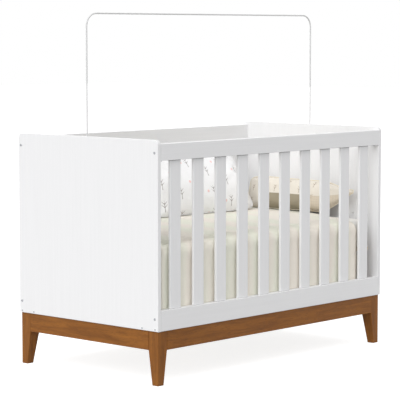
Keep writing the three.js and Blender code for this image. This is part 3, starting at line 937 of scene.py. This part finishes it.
def ring_path(low, high, corner, height, steps=8):
    """A rounded rectangle at one height."""
    path = []
    for quarter, (x, y) in enumerate(
        ((high.x, high.y), (low.x, high.y), (low.x, low.y), (high.x, low.y))
    ):
        centre_x = x - math.copysign(corner, x)
        centre_y = y - math.copysign(corner, y)
        for i in range(steps + 1):
            angle = (quarter + i / steps) * math.pi / 2
            x_at = centre_x + corner * math.cos(angle)
            path.append(Vector((x_at, centre_y + corner * math.sin(angle), height)))
    return path


for name, height in (("top", high.z - EDGE_ROUND - 1 * MM), ("bottom", low.z + EDGE_ROUND)):
    path = ring_path(low, high, EDGE_ROUND, height)
    cord_piece(f"mattress_{name}_piping", path, 2.2 * MM, "made_bed", ticking)
print("piping at two heights")

# %% [markdown]
# ## The quilt
#
# The quilt is one sheet of soft cotton. It lies on the mattress, turns over its front edge and
# hangs behind the front slats and the bottom rail. It has little room there: it can't pass
# through the slats in front or the mattress behind, so its folds are broad and shallow.
#
# A simulated drape would have to be steered past ten slats, so the sheet is shaped directly. A
# flat grid is laid along the line that the cloth takes over the mattress, and then each point
# moves along its own normal for the folds and for the crease at the mattress edge.

# %% Sizes of the quilt
quilt_low, quilt_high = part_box("quilt")
QUILT_THICK = 6.5 * MM
TOP_AT = quilt_high.z - 0.3 * MM - QUILT_THICK / 2
BACK_EDGE, FRONT_TURN = quilt_high.y, -0.316
HANG_AT, TURN_DOWN = -0.3485, 0.030
HEM_AT = quilt_low.z + 4 * MM
TOP_RUN = BACK_EDGE - FRONT_TURN
TURN_OUT = FRONT_TURN - HANG_AT
TURN_RUN = 1.57 * math.sqrt((TURN_OUT**2 + TURN_DOWN**2) / 2)
HANG_RUN = TOP_AT - TURN_DOWN - HEM_AT
QUILT_WIDTH = quilt_high.x - quilt_low.x
QUILT_LENGTH = TOP_RUN + TURN_RUN + HANG_RUN
DRAWN_IN, COMES_BACK, CORNER_FALL = 0.135, 0.053, 0.080
print("quilt cut", round(QUILT_WIDTH, 3), "by", round(QUILT_LENGTH, 3), "m")


# %% Shape of the quilt
def smooth_step(low, high, value):
    """0 below low, 1 above high and a smooth rise between. Low may be the larger."""
    share = min(1, max(0, (value - low) / (high - low)))
    return share * share * (3 - 2 * share)


def quilt_line(run):
    """The point at a distance along the cloth from its back edge, and its normal, in Y and Z."""
    if run < TOP_RUN:
        return BACK_EDGE - run, TOP_AT, 0.0, 1.0
    if run < TOP_RUN + TURN_RUN:
        angle = (run - TOP_RUN) / TURN_RUN * math.pi / 2
        y = FRONT_TURN - TURN_OUT * math.sin(angle)
        z = TOP_AT - TURN_DOWN * (1 - math.cos(angle))
        return y, z, -math.sin(angle), math.cos(angle)
    return HANG_AT, TOP_AT - TURN_DOWN - (run - TOP_RUN - TURN_RUN), -1.0, 0.0


def right_edge(run):
    """Where the quilt ends on its right: its front corner is drawn in and rounded."""
    across = BACK_EDGE - run
    edge = quilt_high.x - DRAWN_IN * smooth_step(0.10, FRONT_TURN, across)
    share = min(1, max(0, (run - TOP_RUN - 0.4 * TURN_RUN) / CORNER_FALL))
    return edge + COMES_BACK * (1 - (1 - share) ** 2.4)


def quilt_point(share, run):
    """The place of a point of the cloth, at a share of its width and a distance along it."""
    left = quilt_low.x + 0.006 * smooth_step(TOP_RUN - 0.05, TOP_RUN + TURN_RUN, run)
    x = left + (right_edge(run) - left) * share
    y, z, normal_y, normal_z = quilt_line(run)
    below = run - TOP_RUN - 0.5 * TURN_RUN
    from_left = smooth_step(0.15, -0.62, x)
    crease = (4.0 + 10.0 * from_left) * MM * math.exp(-((below / 0.016) ** 2))
    swell = 3.6 * MM * math.exp(-(((below - 0.040) / 0.020) ** 2))
    hanging = smooth_step(0.03, 0.11, below)
    past_rail = smooth_step(0.300, 0.278, z) * hanging
    broad = noise.noise(Vector((x * 8.5, below * 1.6, 3.7)))
    fine = noise.noise(Vector((x * 21.0, below * 2.2, 9.1)))
    fold = (5.2 * broad + 2.0 * fine) * MM * hanging
    fold = fold * (1 - past_rail) + past_rail * (0.3 * fold - 1.2 * MM)
    resting = 1 - smooth_step(TOP_RUN - 0.04, TOP_RUN + TURN_RUN, run)
    ripple = noise.noise(Vector((x * 5.0, y * 7.0, 1.3))) - 0.35
    move = swell * (1 - past_rail) - crease + fold + 3.0 * MM * ripple * resting
    move -= 3.0 * MM * resting * smooth_step(-0.12, FRONT_TURN, y)
    return Vector((x, y + normal_y * move, z + normal_z * move))


ACROSS, ALONG = 150, 136
shape = bmesh.new()
cut_layer = shape.loops.layers.uv.new("cut")
bmesh.ops.create_grid(shape, x_segments=ACROSS, y_segments=ALONG, size=0.5)
for face in shape.faces:
    for loop in face.loops:
        flat = loop.vert.co
        loop[cut_layer].uv = ((flat.x + 0.5) * QUILT_WIDTH, (0.5 - flat.y) * QUILT_LENGTH)
border = [point for point in shape.verts if point.is_boundary]
for point in shape.verts:
    point.co = quilt_point(point.co.x + 0.5, (0.5 - point.co.y) * QUILT_LENGTH)


def walk_round(points, edges):
    """The points in order round a closed loop of edges."""
    nexts = {point: [] for point in points}
    for edge in edges:
        first, second = edge.verts
        nexts[first].append(second)
        nexts[second].append(first)
    path = [points[0], nexts[points[0]][0]]
    while len(path) < len(points):
        here, before = path[-1], path[-2]
        path.append(next(p for p in nexts[here] if p is not before))
    return [point.co.copy() for point in path]


hem_path = walk_round(border, [edge for edge in shape.edges if edge.is_boundary])
quilt = keep_piece("draped_quilt", shape, "made_bed", quilt_cotton, 180)
wadding = quilt.modifiers.new("wadding", "SOLIDIFY")
wadding.thickness, wadding.offset = QUILT_THICK, 0
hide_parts("quilt")
print("quilt of", len(quilt.data.polygons), "faces")

# %% [markdown]
# The quilt's edge is bound: a strip of cloth is folded over it and stitched. Swept along the
# border, a cord as thick as the quilt gives that full round edge and covers the cut wadding.

# %% Bind the quilt's edge
binding = cord_piece(
    "quilt_binding", hem_path, QUILT_THICK * 0.56, "made_bed", hem_cotton
)
print("binding along", round(sum((a - b).length for a, b in zip(hem_path, hem_path[1:])), 2), "m")

# %% [markdown]
# ## The pillows
#
# A pillow gets its look from how it is made. Two flat pieces of cloth are sewn together round
# the edge and filled: the middle swells, the sides are drawn in, and the corners stay flat and
# pinched, with small creases along the seam. So each pillow starts as its flat cover, and
# Blender's cloth simulation blows it up with a little pressure. Then it is brought to its
# size, its filling sinks a little, and it is leant and pressed against what it rests on.
#
# Each layer's four corner faces get a point in their middle, so that no edge of one layer ever
# runs from seam to seam and lies on the same edge of the other layer.


# %% Cut and fill a cover
def cut_cover(name, length, height, corner, step):
    """Two layers of cloth with one seam round them, lying flat on X and Y."""
    shape = bmesh.new()
    layer = shape.loops.layers.uv.new("cut")
    columns, rows = round(length / step), round(height / step)
    bmesh.ops.create_grid(shape, x_segments=columns, y_segments=rows, size=0.5)
    for point in shape.verts:
        point.co = Vector((point.co.x * length, point.co.y * height, 0))
    corners = [face for face in shape.faces if sum(p.is_boundary for p in face.verts) == 3]
    bmesh.ops.poke(shape, faces=corners)
    for face in shape.faces:
        for loop in face.loops:
            flat = loop.vert.co
            loop[layer].uv = (flat.x + length / 2, flat.y + height / 2)
    half = Vector((length / 2, height / 2, 0))
    for point in shape.verts:
        past = [abs(point.co[k]) - (half[k] - corner) for k in (0, 1)]
        if min(past) > 0:
            pull = max(past) / math.hypot(*past)
            for k in (0, 1):
                point.co[k] = math.copysign(half[k] - corner + past[k] * pull, point.co[k])
    copied = bmesh.ops.duplicate(shape, geom=shape.verts[:] + shape.edges[:] + shape.faces[:])
    back_faces = [made for made in copied["geom"] if isinstance(made, bmesh.types.BMFace)]
    back_points = {made for made in copied["geom"] if isinstance(made, bmesh.types.BMVert)}
    for face in back_faces:
        face.material_index = 1
    for point in shape.verts:
        if not point.is_boundary:
            rise = 1 - max(abs(point.co.x) / half.x, abs(point.co.y) / half.y) ** 4
            uneven = 1 + 0.2 * noise.noise(Vector((point.co.x * 30, point.co.y * 30, 5)))
            thick = (0.5 + 14 * rise * uneven) * MM
            point.co.z = -thick if point in back_points else thick
    bmesh.ops.reverse_faces(shape, faces=back_faces)
    bmesh.ops.remove_doubles(shape, verts=shape.verts[:], dist=1e-5)
    mesh = bpy.data.meshes.new(name)
    shape.to_mesh(mesh)
    shape.free()
    cover = bpy.data.objects.new(name, mesh)
    bpy.context.collection.objects.link(cover)
    return cover


def blow_up(cover, pressure, frames=20):
    """Fills the cover by simulation and returns its mesh."""
    filling = cover.modifiers.new("filling", "CLOTH")
    filling.settings.quality = 6
    filling.settings.mass = 0.001
    filling.settings.use_pressure = True
    filling.settings.uniform_pressure_force = pressure
    filling.settings.bending_stiffness = 0.6
    filling.settings.effector_weights.gravity = 0
    filling.collision_settings.use_collision = False
    filling.point_cache.frame_start, filling.point_cache.frame_end = 1, frames
    for frame_number in range(1, frames + 1):
        scene.frame_set(frame_number)
    filled = cover.evaluated_get(bpy.context.evaluated_depsgraph_get())
    mesh = bpy.data.meshes.new_from_object(filled)
    scene.frame_set(1)
    bpy.data.objects.remove(cover)
    return mesh


def give_way(value, wall, give):
    """Keeps a value above a wall, and squeezes what comes near it into a soft flat."""
    near = wall + give
    return value if value > near else wall + give * math.exp((value - near) / give)


def finish_pillow(name, mesh, size, bend, stand, body, material, cord_material):
    """Brings a filled cover to its size, bends it, stands it in place and sews on its cord."""
    shape = bmesh.new()
    shape.from_mesh(mesh)
    bpy.data.meshes.remove(mesh)
    layers = {p: {face.material_index for face in p.link_faces} for p in shape.verts}
    inner = [point for point in shape.verts if len(layers[point]) == 1]
    for _ in range(2):
        bmesh.ops.smooth_vert(
            shape, verts=inner, factor=0.5, use_axis_x=True, use_axis_y=True, use_axis_z=True
        )
    for k in range(3):
        reach = [point.co[k] for point in shape.verts]
        shift, scale = (max(reach) + min(reach)) / 2, size[k] / (max(reach) - min(reach))
        for point in shape.verts:
            point.co[k] = (point.co[k] - shift) * scale
    for point in shape.verts:
        lump = noise.noise(Vector((point.co.x * 9, point.co.y * 9, 2.5)))
        point.co.z *= 1 + 0.16 * lump
        point.co = stand(bend(point.co))
    seam = [e for e in shape.edges if len({f.material_index for f in e.link_faces}) == 2]
    on_seam = list({point: None for edge in seam for point in edge.verts})
    path = walk_round(on_seam, seam)
    for face in shape.faces:
        face.material_index = 0
    pillow = keep_piece(name, shape, body, material, 180)
    fuller = pillow.modifiers.new("smooth_cloth", "SUBSURF")
    fuller.levels = fuller.render_levels = 1
    cord_piece(name + "_seam_cord", path, 1.6 * MM, body, cord_material)
    return pillow


print("pillow helpers ready")

# %% [markdown]
# ### White pillow
#
# It stands on its long side on the quilt and leans back on the back slats. Its filling has
# sunk, so it is fuller below than above.

# %% White pillow
BED_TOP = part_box("quilt")[1].z + 0.3 * MM
low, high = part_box("white_pillow")
LEAN_BACK = 26
BACK_WALL = high.y
white_size = (high.x - low.x, 0.290, 0.092)
white_middle = (low.x + high.x) / 2


def sink_white(point):
    """Lets the filling sink, and lifts the lower corner of the far end a little."""
    upper = point.y / (white_size[1] / 2)
    point.z *= 1 - 0.16 * upper
    point.y += 0.012 * smooth_step(0.14, 0.30, point.x) * max(0, -upper)
    return point


def stand_white(point):
    """Leans the pillow on the back slats. It leans back further towards its far end."""
    lean = math.radians(LEAN_BACK + 19 * point.x)
    half = white_size[1] / 2
    y = BACK_WALL - 4 * MM + (point.y - half) * math.sin(lean) - point.z * math.cos(lean)
    z = BED_TOP - 3 * MM + (point.y + half) * math.cos(lean) + point.z * math.sin(lean)
    y = -give_way(-y, -BACK_WALL, 9 * MM)
    z = give_way(z, BED_TOP, 9 * MM)
    return Vector((point.x + white_middle, y, z))


cover = cut_cover("white_cover", 0.612, 0.316, 0.035, 8 * MM)
white_mesh = blow_up(cover, 0.75)
white_pillow = finish_pillow(
    "white_sprig_pillow",
    white_mesh,
    white_size,
    sink_white,
    stand_white,
    "white_pillow",
    white_print,
    seam_white,
)
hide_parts("white_pillow")
print("white pillow", [round(a, 3) for a in white_size])

# %% [markdown]
# ### Cream pillow
#
# The second pillow is lower. It lies along the right end and leans on the panel. Its front
# end is lifted: the corners there are pinched together into one tip that hangs clear of the
# quilt.

# %% Cream pillow
low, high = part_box("cream_pillow")
LEAN_RIGHT = math.radians(14)
RIGHT_WALL = high.x
cream_size = (high.y - low.y, 0.148, 0.078)
cream_middle = (low.y + high.y) / 2


def pinch_cream(point):
    """Sinks the filling, rounds the back end and draws the front end into a raised tip."""
    point.y *= 1 - 0.14 * smooth_step(-0.20, -0.29, point.x)
    point.z *= 1 - 0.14 * point.y / (cream_size[1] / 2)
    tip = smooth_step(0.12, 0.30, point.x)
    point.y = point.y * (1 - 0.88 * tip) + 0.022 * tip + 0.010 * smooth_step(0.24, 0.29, point.x)
    point.y -= 0.004 * smooth_step(0.02, 0.16, point.x) * max(0, point.y / (cream_size[1] / 2))
    point.z *= 1 - 0.50 * tip
    return point


def stand_cream(point):
    """Leans the pillow on the right end panel and rests it on the quilt."""
    x = point.y * math.sin(LEAN_RIGHT) - point.z * math.cos(LEAN_RIGHT)
    z = point.y * math.cos(LEAN_RIGHT) + point.z * math.sin(LEAN_RIGHT)
    x = -give_way(-(x + cream_shift.x), -RIGHT_WALL, 6 * MM)
    z = give_way(z + cream_shift.z, BED_TOP, 7 * MM)
    return Vector((x, cream_middle - point.x, z))


cream_shift = Vector((RIGHT_WALL - 0.0440, 0, BED_TOP + 0.0690))
cover = cut_cover("cream_cover", *CREAM_COVER, 0.028, 8 * MM)
cream_mesh = blow_up(cover, 0.9)
cream_pillow = finish_pillow(
    "cream_sprig_pillow",
    cream_mesh,
    cream_size,
    pinch_cream,
    stand_cream,
    "cream_pillow",
    cream_print,
    seam_cream,
)
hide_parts("cream_pillow")
print("cream pillow", [round(a, 3) for a in cream_size])

# %% [markdown]
# ## Measure and finish
#
# The visible model must stay the size of the frame, so the box that each soft piece fills is
# printed.

# %% Print the box of each soft piece
for piece in (quilt, white_pillow, cream_pillow, mattress):
    shown = piece.evaluated_get(bpy.context.evaluated_depsgraph_get())
    corners = [shown.matrix_world @ Vector(corner) for corner in shown.bound_box]
    print(
        piece.name,
        [round(min(c[k] for c in corners), 4) for k in range(3)],
        [round(max(c[k] for c in corners), 4) for k in range(3)],
    )
